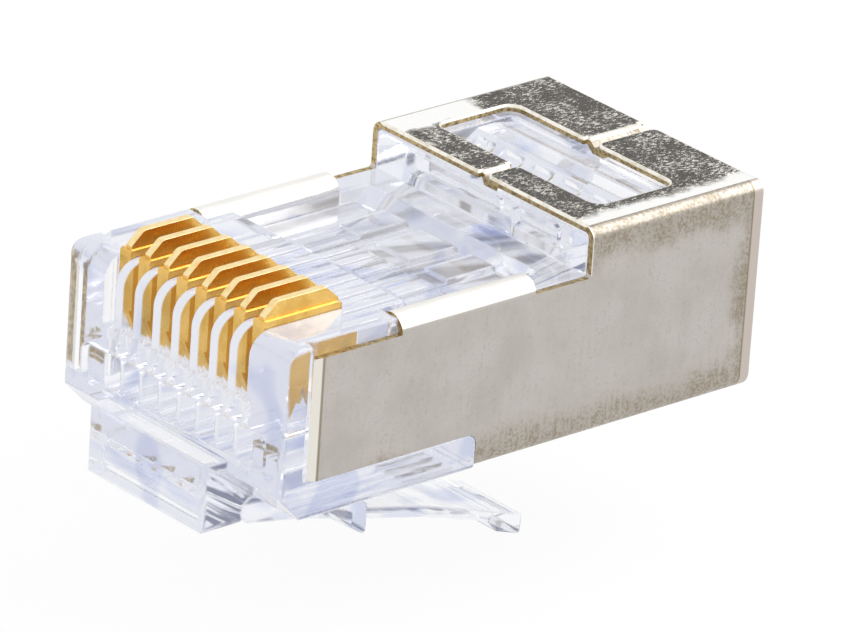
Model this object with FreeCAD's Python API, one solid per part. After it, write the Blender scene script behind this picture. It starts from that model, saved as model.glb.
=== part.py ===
import FreeCAD, Part
import math
import os

# Shielded pass-through modular plug, 8 positions and 8 contacts, not yet crimped.
# Lengths are in millimetres and angles in degrees.
#
# The pieces are drawn in the moulder's frame: x across the plug, y = depth behind the
# nose face, z = height above the latch side, contacts up. write_part() then moves each
# one to the plug's own frame, whose origin is the middle of the round cable entry at
# the rear face, with +Y out of the entry and +Z on the contact side.

# ---- driving dimensions: the plug as a whole ----
BODY_WIDTH = 11.68         # across the shield
BODY_LENGTH = 21.56        # nose face to rear face
REAR_HEIGHT = 7.9          # latch side to the top of the raised rear
RAISED_LENGTH = 7.95       # raised part of the rear
NOSE_HEIGHT = 6.5          # latch side to the tops of the comb ribs
SHEET = 0.25               # thickness of the shield's sheet
SEAT_GAP = 0.03            # between the shield and the plastic it wraps

# ---- shield ----
WALL_HEIGHT = 6.08         # side walls ahead of the raised rear
FRONT_WALL_HEIGHT = 5.98   # side walls ahead of the curls
WALL_FRONT = 1.2           # depth at which the side walls start
NOTCH_END = 8.8            # the side walls stop short of the latch side up to here
NOTCH_HEIGHT = 1.42
NOTCH_RADIUS = 0.4
BOTTOM_BEND = 0.6          # outside radius of the two bottom bends
TOP_BEND = 0.45             # outside radius of the two top bends
CORNER_RADIUS = 0.3        # blanked corners of the side walls
STEP_RADIUS = 0.15         # inner corner at the foot of the raised rear
LIP_LENGTH = 0.38          # strip bent inwards along the front edges of the side walls
LIP_DROP = 0.18
FRONT_STRIP = 1.54         # top strip ahead of the window
WINDOW_LENGTH = 3.6
WINDOW_MARGIN = 1.56       # beside the window, each side
WINDOW_RADIUS = 0.5
SEAM_X = 0.1               # free edge of the half that lies on top
FRONT_SEAM_GAP = 0.24      # from that edge to the step in the other half, ahead of the window
REAR_SEAM_GAP = 0.5        # the same behind the window
SEAM_LAP = 0.65            # how far the stepped tab reaches under the top half
SEAM_CORNER = 0.35
SEAM_SET_BACK = 0.18       # tab narrower than its strip, each side
LAP_GAP = 0.02
STEP_SHARE = 0.6           # share of the gap taken by the slope that brings the tab down
CURL_START = 5.1
CURL_SET_BACK = 2.5        # from the rolled edge's end to the raised rear
CURL_RADIUS = 0.62         # outside radius of the rolled edge
CURL_FOOT = 5.4            # height of the rolled edge's inner end

# ---- clear housing ----
NOSE_CHAMFER = 1.1
NOSE_TOP_RADIUS = 0.85     # quarter-round at the front of the comb's ribs
NOSE_EDGE_RADIUS = 0.2
SECTION_RADIUS = 0.3
SOFT_EDGE = 0.12           # small roundings of the mouldings
MOUTH_WALL = 0.94          # beside the mouth
MOUTH_FLOOR = 1.55
MOUTH_ROOF = 3.05
MOUTH_DEPTH = 0.3
MOUTH_RADIUS = 0.5
CHANNEL_WIDTH = 0.88
CHANNEL_FLOOR = 1.4
CHANNEL_ROOF = 3.0
FUNNEL_LENGTH = 4.1
CAVITY_LENGTH = 4.6
CAVITY_WALL = 1.29         # beside the jacket cavity
CAVITY_RADIUS = 1.2
ENTRY_RADIUS = 2.9
ENTRY_LENGTH = 2.4
ENTRY_FLOOR = 0.42         # plastic under the cable entry
RECESS_START = 6.2
RECESS_FLOOR = 5.6
RECESS_SLOPE = 0.6         # run of the recess's sloped ends
REAR_LEDGE_LENGTH = 1.16   # ledge between the recess and the raised rear
REAR_LEDGE_HEIGHT = 6.1
PAD_HEIGHT = 0.3           # three long pads on the recess floor
PAD_STEP = 0.15            # their front halves stand lower by this
MIDDLE_PAD_WIDTH = 1.8
SIDE_PAD_WIDTH = 1.2
PAD_SPACING = 2.3
POCKET_DEPTH = 0.4         # two pockets in the raised rear's front wall
POCKET_SPAN = 8.0
POCKET_RIB = 0.6           # between the pockets
POCKET_RIB_X = 1.3
POCKET_FLOOR = 6.55
POCKET_HEIGHT = 0.78
POCKET_RADIUS = 0.3

# ---- contacts ----
CONTACT_COUNT = 8
CONTACT_PITCH = 1.016
BLADE_THICKNESS = 0.3
BLADE_FRONT = 0.74
BLADE_BACK = 4.0
BLADE_TOP = 7.35           # before crimping
BLADE_FRONT_RISE = 0.12    # upright part of the blade's front edge
BLADE_FRONT_RUN = 0.55
BLADE_BACK_RUN = 0.57
BLADE_BACK_DROP = 0.5
BASE_THICKNESS = 0.56
BASE_FRONT = 0.6
BASE_BACK = 4.05
BASE_TOP = 6.75
BASE_BOTTOM = 4.6
TOOTH_COUNT = 3
TOOTH_LENGTH = 1.3
CRIMP_TRAVEL = 1.2
SLOT_GAP = 0.03            # each side of a contact
SLOT_FLOOR = 4.0           # open front of a contact slot

# ---- latch ----
LATCH_WIDTH = 6.2
HINGE_DEPTH = 1.25
HINGE_HEIGHT = -0.62
ROOT_RADIUS = 0.5
HINGE_GAP = 0.05
BLOCK_FRONT = -1.05
BLOCK_TOP = 1.6
BLOCK_BOTTOM = -1.1
BLOCK_RADIUS = 0.35
BLOCK_CORNER = 0.2
ARM_DEPTH = 3.35           # where the arm's underside starts to thicken
ARM_LOW = -1.5
RAMP_DEPTH = 4.8           # foot of the ramp that leads the shoulders into the jack
RAMP_LOW = -1.85
SHOULDER_DEPTH = 6.45      # locking faces of the two shoulders
SHOULDER_HIGH = -1.66
SHOULDER_LOW = -2.87
SHOULDER_LAND = 0.35
TAIL_WIDTH = 3.2
TAIL_LAP = 0.4             # the tail starts this far ahead of the locking faces
TAIL_START_TOP = -2.25
TAIL_BEND_DEPTH = 8.0
TAIL_BEND_TOP = -2.84
TAIL_KNEE_DEPTH = 10.4
TAIL_KNEE_TOP = -3.4
TAIL_END = 15.2
TAIL_END_TOP = -4.9
TAIL_THICKNESS = 0.42
TIP_LENGTH = 1.25          # thickened end of the tail
TIP_THICKNESS = 0.78
TIP_SLANT = 0.1

# ---- strain relief bar ----
BAR_GAP = 0.1              # between the bar and the edges of its opening
BAR_SIDE_INSET = 0.45      # bar inside the shield's window, each side
BAR_INSET = 0.35           # the same at its front and at its hinge
BAR_SINK = 0.04            # bar's top below the housing's top
BAR_HINGE_DROP = 0.47
BAR_CABLE_GAP = 0.08       # bar's underside above the cable space, before crimping
BAR_ROOT_RADIUS = 0.28
BAR_TOE = 0.2              # height of the bar's blunt front edge
BAR_SLOPE_RUN = 1.25
BAR_BACK_RUN = 0.8
BAR_HEEL = 0.4
BAR_POCKETS = 5
BAR_POCKET_WIDTH = 1.05
BAR_POCKET_DEPTH = 0.25
BAR_POCKET_MARGIN = 0.22

# ---- sizes that follow ----
HALF_WIDTH = BODY_WIDTH / 2
SEAT = SHEET + SEAT_GAP                        # how far the plastic stands in from the shield
RAISED_START = BODY_LENGTH - RAISED_LENGTH
ROOF = REAR_HEIGHT - SEAT                      # top of the plastic under the shield
SEAM_ROOF = ROOF - SHEET - LAP_GAP             # the same under the seam's tab
ENTRY_HEIGHT = SEAT + ENTRY_FLOOR + ENTRY_RADIUS
ENTRY_START = BODY_LENGTH - ENTRY_LENGTH
CAVITY_FLOOR = ENTRY_HEIGHT - ENTRY_RADIUS
CAVITY_ROOF = ENTRY_HEIGHT + ENTRY_RADIUS
CAVITY_HALF_WIDTH = HALF_WIDTH - CAVITY_WALL
FUNNEL_END = ENTRY_START - CAVITY_LENGTH
CHANNEL_END = FUNNEL_END - FUNNEL_LENGTH
MOUTH_HALF_WIDTH = HALF_WIDTH - MOUTH_WALL
RECESS_END = RAISED_START - REAR_LEDGE_LENGTH
CURL_END = RAISED_START - CURL_SET_BACK
CURL_INNER = HALF_WIDTH - 2 * CURL_RADIUS      # inner side of the rolled edge
CURL_TOP = FRONT_WALL_HEIGHT + CURL_RADIUS
WINDOW_START = RAISED_START + FRONT_STRIP
WINDOW_END = WINDOW_START + WINDOW_LENGTH
WINDOW_HALF_WIDTH = HALF_WIDTH - WINDOW_MARGIN
BAR_HALF_WIDTH = WINDOW_HALF_WIDTH - BAR_SIDE_INSET
BAR_FRONT = WINDOW_START + BAR_INSET
BAR_HINGE_DEPTH = WINDOW_END - BAR_INSET
BAR_HINGE_HEIGHT = ROOF - BAR_HINGE_DROP
BAR_TOP = ROOF - BAR_SINK
BAR_BOTTOM = CAVITY_ROOF + BAR_CABLE_GAP
OVERCUT = 0.5              # cutters reach this far past open faces
JOIN = 0.1                 # overlap of two shapes that are fused


# ---- drawing helpers ----
def rounded_wire(corners, place):
    """A closed wire through corners (a, b, radius), each rounded as far as its sides allow."""
    points = [FreeCAD.Vector(a, b, 0) for a, b, _ in corners]
    starts, mids, ends = [], [], []
    for index, corner in enumerate(points):
        room = []
        for other in (index - 1, (index + 1) % len(points)):
            span = (points[other] - corner).Length
            room.append(span / 2 if corners[other][2] else span)
        before = (points[index - 1] - corner).normalize()
        after = (points[(index + 1) % len(points)] - corner).normalize()
        half = before.getAngle(after) / 2
        reach = min(corners[index][2] / math.tan(half), *room)
        radius = reach * math.tan(half)
        middle = (before + after).normalize() if radius else before
        starts.append(corner + before * reach)
        mids.append(corner + middle * (radius / math.sin(half) - radius))
        ends.append(corner + after * reach)
    edges = []
    for index in range(len(points)):
        start, end = starts[index], ends[index]
        if (ends[index - 1] - start).Length > 1e-6:
            edges.append(Part.LineSegment(place(ends[index - 1]), place(start)).toShape())
        if corners[index][2]:
            edges.append(Part.Arc(place(start), place(mids[index]), place(end)).toShape())
    return Part.Wire(Part.__sortEdges__(edges))


def prism_x(corners, low, high):
    """Outline in (y, z), pushed from x = low to x = high."""
    wire = rounded_wire(corners, lambda p: FreeCAD.Vector(low, p.x, p.y))
    return Part.Face(wire).extrude(FreeCAD.Vector(high - low, 0, 0))


def prism_y(corners, low, high):
    """Outline in (x, z), pushed from y = low to y = high."""
    wire = rounded_wire(corners, lambda p: FreeCAD.Vector(p.x, low, p.y))
    return Part.Face(wire).extrude(FreeCAD.Vector(0, high - low, 0))


def prism_z(corners, low, high):
    """Outline in (x, y), pushed from z = low to z = high."""
    wire = rounded_wire(corners, lambda p: FreeCAD.Vector(p.x, p.y, low))
    return Part.Face(wire).extrude(FreeCAD.Vector(0, 0, high - low))


def rectangle(a_low, b_low, a_high, b_high, low_radius=0.0, high_radius=0.0):
    """Corners of a rectangle, with one radius at its lower side and one at its upper."""
    return [(a_low, b_low, low_radius), (a_high, b_low, low_radius),
            (a_high, b_high, high_radius), (a_low, b_high, high_radius)]


def box(low, high):
    """A plain block between two corners."""
    size = [b - a for a, b in zip(low, high)]
    return Part.makeBox(*size, FreeCAD.Vector(*low))


def both_sides(shape):
    """A shape and its mirror image across the plug's middle plane."""
    return [shape, shape.mirror(FreeCAD.Vector(0, 0, 0), FreeCAD.Vector(1, 0, 0))]


def contact_positions():
    """The x of each contact, from one side of the plug to the other."""
    middle = (CONTACT_COUNT - 1) / 2
    return [(index - middle) * CONTACT_PITCH for index in range(CONTACT_COUNT)]


def rod_x(depth, height, radius, half_length):
    """A round rod along x."""
    centre = FreeCAD.Vector(-half_length, depth, height)
    return Part.makeCylinder(radius, 2 * half_length, centre, FreeCAD.Vector(1, 0, 0))


# ---- clear housing ----
def housing_front():
    """Nose and the part above the latch: full width low down, narrower behind the shield."""
    end = NOTCH_END - SEAT_GAP
    profile = [(0, NOSE_CHAMFER, SOFT_EDGE), (NOSE_CHAMFER, 0, SOFT_EDGE), (end, 0, 0),
               (end, NOSE_HEIGHT, 0), (0, NOSE_HEIGHT, NOSE_TOP_RADIUS)]
    plan = rectangle(-HALF_WIDTH, 0, HALF_WIDTH, end, NOSE_EDGE_RADIUS)
    section = rectangle(-HALF_WIDTH, 0, HALF_WIDTH, NOSE_HEIGHT, SECTION_RADIUS, SECTION_RADIUS)
    front = prism_x(profile, -HALF_WIDTH, HALF_WIDTH)
    front = front.common(prism_z(plan, -OVERCUT, NOSE_HEIGHT + OVERCUT))
    front = front.common(prism_y(section, 0, end))
    seat_floor = NOTCH_HEIGHT - SEAT_GAP
    seat = box((HALF_WIDTH - SEAT, WALL_FRONT + LIP_LENGTH, seat_floor),
               (HALF_WIDTH + OVERCUT, end + OVERCUT, REAR_HEIGHT))
    radius = NOTCH_RADIUS - SEAT_GAP
    corner = box((HALF_WIDTH - SEAT, end - radius, seat_floor - radius),
                 (HALF_WIDTH + OVERCUT, end + OVERCUT, seat_floor))
    corner = corner.cut(rod_x(end - radius, seat_floor - radius, radius, HALF_WIDTH + OVERCUT))
    lip = box((HALF_WIDTH - SEAT - LIP_DROP, WALL_FRONT - SEAT_GAP, seat_floor),
              (HALF_WIDTH + OVERCUT, WALL_FRONT + LIP_LENGTH, REAR_HEIGHT))
    keep = prism_z([(HALF_WIDTH - SEAT, WALL_FRONT + LIP_LENGTH, 0),
                    (HALF_WIDTH - SEAT - LIP_DROP, WALL_FRONT, 0),
                    (HALF_WIDTH - SEAT - 2 * LIP_DROP, WALL_FRONT, 0),
                    (HALF_WIDTH - SEAT - 2 * LIP_DROP, WALL_FRONT + LIP_LENGTH, 0)],
                   seat_floor, REAR_HEIGHT)
    return front.cut(both_sides(seat.fuse([corner, lip.cut(keep)])))


def housing_rear():
    """The part inside the folded shield, with its raised rear."""
    start = NOTCH_END - SEAT_GAP
    profile = [(start, SEAT, 0), (BODY_LENGTH, SEAT, 0), (BODY_LENGTH, ROOF, 0),
               (RAISED_START, ROOF, SOFT_EDGE), (RAISED_START, NOSE_HEIGHT, SOFT_EDGE),
               (start, NOSE_HEIGHT, 0)]
    inner = HALF_WIDTH - SEAT
    section = rectangle(-inner, SEAT, inner, ROOF, BOTTOM_BEND - SHEET, TOP_BEND - SHEET)
    return prism_x(profile, -inner, inner).common(prism_y(section, start, BODY_LENGTH))


def nose_block():
    """The block under the nose that carries the latch, with the latch's round socket."""
    half = LATCH_WIDTH / 2
    profile = [(BLOCK_FRONT, BLOCK_BOTTOM, BLOCK_RADIUS), (HINGE_DEPTH, BLOCK_BOTTOM, 0),
               (HINGE_DEPTH, NOSE_CHAMFER, 0), (MOUTH_DEPTH, BLOCK_TOP, 0),
               (BLOCK_FRONT, BLOCK_TOP, SOFT_EDGE)]
    section = rectangle(-half, BLOCK_BOTTOM, half, BLOCK_TOP, BLOCK_RADIUS, SOFT_EDGE)
    plan = rectangle(-half, BLOCK_FRONT, half, HINGE_DEPTH, BLOCK_CORNER)
    block = prism_x(profile, -half, half)
    block = block.common(prism_y(section, BLOCK_FRONT, HINGE_DEPTH))
    block = block.common(prism_z(plan, BLOCK_BOTTOM, BLOCK_TOP))
    socket = rod_x(HINGE_DEPTH, HINGE_HEIGHT, ROOT_RADIUS + HINGE_GAP, half + OVERCUT)
    return block.cut(socket)


def mouth_and_channels():
    """The pass-through mouth in the nose face, and a channel behind it for each conductor."""
    mouth = prism_y(rectangle(-MOUTH_HALF_WIDTH, MOUTH_FLOOR, MOUTH_HALF_WIDTH, MOUTH_ROOF,
                              MOUTH_RADIUS, MOUTH_RADIUS), -OVERCUT, MOUTH_DEPTH)
    half = CHANNEL_WIDTH / 2
    cutters = [mouth]
    for x in contact_positions():
        outline = rectangle(x - half, CHANNEL_FLOOR, x + half, CHANNEL_ROOF, half, half)
        cutters.append(prism_y(outline, MOUTH_DEPTH - SEAT_GAP, CHANNEL_END + SEAT_GAP))
    return cutters


def comb_cutters():
    """The open-fronted slot of each contact, and the narrow slit under it for the teeth."""
    top = NOSE_HEIGHT + OVERCUT
    cutters = []
    back = BASE_BACK + SLOT_GAP
    front = BASE_FRONT - SLOT_GAP
    wide = BASE_THICKNESS / 2 + SLOT_GAP
    narrow = BLADE_THICKNESS / 2 + SLOT_GAP
    deep = BASE_BOTTOM - CRIMP_TRAVEL - SLOT_GAP
    channel_middle = (CHANNEL_FLOOR + CHANNEL_ROOF) / 2
    for x in contact_positions():
        cutters.append(box((x - wide, -OVERCUT, SLOT_FLOOR), (x + wide, back, top)))
        cutters.append(box((x - wide, front, deep), (x + wide, back, SLOT_FLOOR + SLOT_GAP)))
        cutters.append(box((x - narrow, front, channel_middle), (x + narrow, back, deep + SLOT_GAP)))
    return cutters


def cable_space():
    """Round cable entry, jacket cavity, and the funnel that leads to the channels."""
    entry = Part.makeCylinder(ENTRY_RADIUS, ENTRY_LENGTH + 2 * OVERCUT,
                              FreeCAD.Vector(0, ENTRY_START - OVERCUT, ENTRY_HEIGHT),
                              FreeCAD.Vector(0, 1, 0))
    wide = rectangle(-CAVITY_HALF_WIDTH, CAVITY_FLOOR, CAVITY_HALF_WIDTH, CAVITY_ROOF,
                     CAVITY_RADIUS, CAVITY_RADIUS)
    narrow_half = contact_positions()[-1] + CHANNEL_WIDTH / 2
    small_radius = (CHANNEL_ROOF - CHANNEL_FLOOR) / 4
    narrow = rectangle(-narrow_half, CHANNEL_FLOOR, narrow_half, CHANNEL_ROOF,
                       small_radius, small_radius)
    wires = [rounded_wire(narrow, lambda p: FreeCAD.Vector(p.x, CHANNEL_END, p.y)),
             rounded_wire(wide, lambda p: FreeCAD.Vector(p.x, FUNNEL_END, p.y))]
    funnel = Part.makeLoft(wires, True, True)
    return [entry, prism_y(wide, FUNNEL_END, ENTRY_START), funnel]


def recess_cutters():
    """The shallow well behind the contacts, with long pads left standing on its floor."""
    top = NOSE_HEIGHT + OVERCUT
    half = CURL_INNER - SEAT_GAP
    well = prism_x([(RECESS_START, top, 0), (RECESS_START, NOSE_HEIGHT, 0),
                    (RECESS_START + RECESS_SLOPE, RECESS_FLOOR, SOFT_EDGE),
                    (RECESS_END - RECESS_SLOPE, RECESS_FLOOR, SOFT_EDGE),
                    (RECESS_END, REAR_LEDGE_HEIGHT, 0), (RAISED_START, REAR_LEDGE_HEIGHT, 0),
                    (RAISED_START, top, 0)], -half, half)
    front = RECESS_START + 2 * RECESS_SLOPE
    back = RECESS_END - RECESS_SLOPE
    middle = (front + back) / 2
    low = RECESS_FLOOR - OVERCUT
    high = RECESS_FLOOR + PAD_HEIGHT
    outline = [(front, low, 0), (back, low, 0), (back, high, SOFT_EDGE), (middle, high, 0),
               (middle, high - PAD_STEP, 0), (front, high - PAD_STEP, SOFT_EDGE)]
    pads = [prism_x(outline, -MIDDLE_PAD_WIDTH / 2, MIDDLE_PAD_WIDTH / 2)]
    pads += both_sides(prism_x(outline, PAD_SPACING - SIDE_PAD_WIDTH / 2,
                               PAD_SPACING + SIDE_PAD_WIDTH / 2))
    return well.cut(pads)


def rail_cutters():
    """Room beside each rail for the shield's rolled edge, with a round rail left inside it."""
    gap = SEAT_GAP
    outer = HALF_WIDTH + OVERCUT
    top = NOSE_HEIGHT + OVERCUT
    space = box((CURL_INNER - gap, CURL_START - gap, CURL_FOOT - gap), (outer, CURL_END + gap, top))
    behind = box((CURL_INNER - gap, CURL_END, REAR_LEDGE_HEIGHT), (outer, RAISED_START, top))
    rail_top = CURL_TOP - SHEET - 3 * gap
    rail = rectangle(CURL_INNER + SHEET + gap, 0, HALF_WIDTH - SEAT, rail_top, 0,
                     CURL_RADIUS - SHEET)
    rail = prism_y(rail, CURL_START - OVERCUT, CURL_END + OVERCUT)
    return both_sides(space.cut(rail)) + both_sides(behind)


def rear_top_cutters():
    """Cuts in the raised rear: front-wall pockets, seam groove, bar window and bar socket."""
    cutters = []
    spans = ((-POCKET_SPAN / 2, POCKET_RIB_X - POCKET_RIB / 2),
             (POCKET_RIB_X + POCKET_RIB / 2, POCKET_SPAN / 2))
    for left, right in spans:
        outline = rectangle(left, POCKET_FLOOR, right, POCKET_FLOOR + POCKET_HEIGHT,
                            POCKET_RADIUS, POCKET_RADIUS)
        cutters.append(prism_y(outline, RAISED_START - OVERCUT, RAISED_START + POCKET_DEPTH))
    tab_low = SEAM_X - (1 + STEP_SHARE) * REAR_SEAM_GAP
    tab_high = SEAM_X + SEAM_LAP
    cutters.append(box((tab_low, RAISED_START - OVERCUT, SEAM_ROOF - SEAT_GAP),
                       (tab_high + SEAT_GAP, BODY_LENGTH + OVERCUT, REAR_HEIGHT)))
    half = BAR_HALF_WIDTH + BAR_GAP
    cutters.append(box((-half, BAR_FRONT - BAR_GAP, CAVITY_ROOF - OVERCUT),
                       (half, BAR_HINGE_DEPTH, REAR_HEIGHT)))
    cutters.append(box((-half, BAR_HINGE_DEPTH - BAR_GAP, CAVITY_ROOF - OVERCUT),
                       (half, BAR_HINGE_DEPTH + 2 * BAR_GAP, BAR_HINGE_HEIGHT)))
    cutters.append(rod_x(BAR_HINGE_DEPTH, BAR_HINGE_HEIGHT, BAR_ROOT_RADIUS + HINGE_GAP, half))
    return cutters


def housing():
    """The clear moulding, in one piece from nose block to cable entry."""
    body = housing_front().fuse([housing_rear(), nose_block()])
    cutters = mouth_and_channels() + comb_cutters() + cable_space() + rail_cutters()
    cutters += [recess_cutters()] + rear_top_cutters()
    return body.cut(cutters).removeSplitter()


# ---- latch ----
def latch_arm():
    """The wide part: round root, flexing arm, and the ramp up to the locking shoulders."""
    half = LATCH_WIDTH / 2
    root = HINGE_DEPTH - ROOT_RADIUS
    high = HINGE_HEIGHT + ROOT_RADIUS
    low = HINGE_HEIGHT - ROOT_RADIUS
    land = SHOULDER_DEPTH - SHOULDER_LAND
    outline = [(root, low, ROOT_RADIUS), (HINGE_DEPTH, low, 0), (ARM_DEPTH, ARM_LOW, 1.0),
               (RAMP_DEPTH, RAMP_LOW, 0.3), (land, SHOULDER_LOW + SHOULDER_LAND / 2, 0.3),
               (SHOULDER_DEPTH, SHOULDER_LOW, SOFT_EDGE), (SHOULDER_DEPTH, SHOULDER_HIGH, SOFT_EDGE),
               (HINGE_DEPTH, high, 0), (root, high, ROOT_RADIUS)]
    return prism_x(outline, -half, half)


def latch_tail():
    """The finger tail: bows gently away from the body and ends in a thicker, slanted tip."""
    start = SHOULDER_DEPTH - TAIL_LAP
    slope = (TAIL_END_TOP - TAIL_KNEE_TOP) / (TAIL_END - TAIL_KNEE_DEPTH)
    tip_top = TAIL_END_TOP - slope * TIP_LENGTH
    neck_top = TAIL_END_TOP - slope * (TIP_LENGTH + TAIL_THICKNESS)
    top = [(start, TAIL_START_TOP, 0), (TAIL_BEND_DEPTH, TAIL_BEND_TOP, 2.0),
           (TAIL_KNEE_DEPTH, TAIL_KNEE_TOP, 6.0), (TAIL_END, TAIL_END_TOP, SOFT_EDGE)]
    tip = [(TAIL_END - TIP_SLANT, TAIL_END_TOP - TIP_THICKNESS, SOFT_EDGE),
           (TAIL_END - TIP_LENGTH, tip_top - TIP_THICKNESS, SOFT_EDGE),
           (TAIL_END - TIP_LENGTH - TAIL_THICKNESS, neck_top - TAIL_THICKNESS, 0.3)]
    underside = [(TAIL_KNEE_DEPTH, TAIL_KNEE_TOP - TAIL_THICKNESS, 6.0),
                 (TAIL_BEND_DEPTH, TAIL_BEND_TOP - TAIL_THICKNESS, 2.0),
                 (start, TAIL_START_TOP - TAIL_THICKNESS, 0)]
    half = TAIL_WIDTH / 2
    plan = rectangle(-half, start, half, TAIL_END, 0, SOFT_EDGE)
    tail = prism_x(top + tip + underside, -half, half)
    return tail.common(prism_z(plan, TAIL_END_TOP - 2 * TIP_THICKNESS, 0))


def latch():
    """Latch in one piece, hinged on its round root in the nose block's socket."""
    return latch_arm().fuse(latch_tail()).removeSplitter()


# ---- strain relief bar ----
def strain_relief_bar():
    """Wedge across the cable, hinged at its rear edge, with pockets in its front slope."""
    half = BAR_HALF_WIDTH
    root = BAR_HINGE_DEPTH + BAR_ROOT_RADIUS
    high = BAR_HINGE_HEIGHT + BAR_ROOT_RADIUS
    low = BAR_HINGE_HEIGHT - BAR_ROOT_RADIUS
    slope_foot = BAR_BOTTOM + BAR_TOE
    slope_end = BAR_FRONT + BAR_SLOPE_RUN
    outline = [(BAR_FRONT, BAR_BOTTOM, SOFT_EDGE), (BAR_HINGE_DEPTH - BAR_HEEL, BAR_BOTTOM, SOFT_EDGE),
               (BAR_HINGE_DEPTH, low, 0), (root, low, BAR_ROOT_RADIUS),
               (root, high, BAR_ROOT_RADIUS), (BAR_HINGE_DEPTH, high, 0),
               (BAR_HINGE_DEPTH - BAR_BACK_RUN, BAR_TOP, SOFT_EDGE), (slope_end, BAR_TOP, SOFT_EDGE),
               (BAR_FRONT, slope_foot, SOFT_EDGE)]
    bar = prism_x(outline, -half, half)
    rise = (BAR_TOP - slope_foot) / BAR_SLOPE_RUN
    near = BAR_FRONT + BAR_POCKET_MARGIN
    far = slope_end - BAR_POCKET_MARGIN
    near_floor = slope_foot + rise * BAR_POCKET_MARGIN - BAR_POCKET_DEPTH
    far_floor = BAR_TOP - rise * BAR_POCKET_MARGIN - BAR_POCKET_DEPTH
    outline = [(near, near_floor, 0), (far, far_floor, 0), (far, BAR_TOP + OVERCUT, 0),
               (near, BAR_TOP + OVERCUT, 0)]
    step = 2 * half / BAR_POCKETS
    pockets = []
    for index in range(BAR_POCKETS):
        middle = (index - (BAR_POCKETS - 1) / 2) * step
        pockets.append(prism_x(outline, middle - BAR_POCKET_WIDTH / 2, middle + BAR_POCKET_WIDTH / 2))
    return bar.cut(pockets)


# ---- shield ----
def shield_tube():
    """The folded sheet before blanking: a rectangular tube with rounded bends."""
    outer = rectangle(-HALF_WIDTH, 0, HALF_WIDTH, REAR_HEIGHT, BOTTOM_BEND, TOP_BEND)
    inner = rectangle(SHEET - HALF_WIDTH, SHEET, HALF_WIDTH - SHEET, REAR_HEIGHT - SHEET,
                      BOTTOM_BEND - SHEET, TOP_BEND - SHEET)
    return prism_y(outer, WALL_FRONT, BODY_LENGTH).cut(prism_y(inner, 0, BODY_LENGTH + OVERCUT))


def front_lip():
    """The narrow front strip of one side wall, turned inwards over the plastic."""
    outer = HALF_WIDTH
    bend = WALL_FRONT + LIP_LENGTH
    return prism_z([(outer, bend, 0), (outer - LIP_DROP, WALL_FRONT, 0),
                    (outer - LIP_DROP - SHEET, WALL_FRONT, 0), (outer - SHEET, bend, 0)],
                   0, REAR_HEIGHT)


def side_outline():
    """What the blanking leaves of the tube, seen from the side."""
    return [(WALL_FRONT, NOTCH_HEIGHT, CORNER_RADIUS), (NOTCH_END, NOTCH_HEIGHT, NOTCH_RADIUS),
            (NOTCH_END, -OVERCUT, 0), (BODY_LENGTH, -OVERCUT, 0),
            (BODY_LENGTH, REAR_HEIGHT + OVERCUT, 0), (RAISED_START, REAR_HEIGHT + OVERCUT, 0),
            (RAISED_START, WALL_HEIGHT, STEP_RADIUS), (CURL_END, WALL_HEIGHT, 0),
            (CURL_END, FRONT_WALL_HEIGHT, 0), (WALL_FRONT, FRONT_WALL_HEIGHT, CORNER_RADIUS)]


def curl():
    """The rolled top edge of one side wall, hooked over the rail beside the contacts."""
    outer = HALF_WIDTH
    inner = CURL_INNER
    radius = CURL_RADIUS
    foot = FRONT_WALL_HEIGHT - JOIN
    top = CURL_TOP
    outline = [(outer, foot, 0), (outer, top, radius), (inner, top, radius),
               (inner, CURL_FOOT, 0), (inner + SHEET, CURL_FOOT, 0),
               (inner + SHEET, top - SHEET, radius - SHEET),
               (outer - SHEET, top - SHEET, radius - SHEET), (outer - SHEET, foot, 0)]
    trim = prism_x([(CURL_START, foot, 0), (CURL_START, top + OVERCUT, 0),
                    (CURL_END, top + OVERCUT, 0), (CURL_END, CURL_FOOT, CORNER_RADIUS),
                    (CURL_START, CURL_FOOT, CORNER_RADIUS)], 0, outer + OVERCUT)
    return prism_y(outline, CURL_START, CURL_END).common(trim)


def seam(start, end, gap):
    """One strip of the top seam: what is cut from it, and the stepped tab that fills it."""
    step = SEAM_X - gap
    over = SEAM_CORNER
    opening = prism_z([(step - JOIN, start - OVERCUT, 0), (SEAM_X + over, start - OVERCUT, 0),
                       (SEAM_X + over, start, 0), (SEAM_X, start, over), (SEAM_X, end, over),
                       (SEAM_X + over, end, 0), (SEAM_X + over, end + OVERCUT, 0),
                       (step - JOIN, end + OVERCUT, 0)],
                      REAR_HEIGHT - 2 * SHEET, REAR_HEIGHT + OVERCUT)
    top = REAR_HEIGHT
    under = REAR_HEIGHT - SHEET - LAP_GAP
    tip = SEAM_X + SEAM_LAP
    foot = step + STEP_SHARE * gap
    outline = [(step - 2 * JOIN, top, 0), (step, top, 0), (foot, under, 0), (tip, under, 0),
               (tip, under - SHEET, 0), (foot - JOIN, under - SHEET, 0),
               (step - JOIN, top - SHEET, 0), (step - 2 * JOIN, top - SHEET, 0)]
    tab = prism_y(outline, start + SEAM_SET_BACK, end - SEAM_SET_BACK)
    return opening, tab


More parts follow.
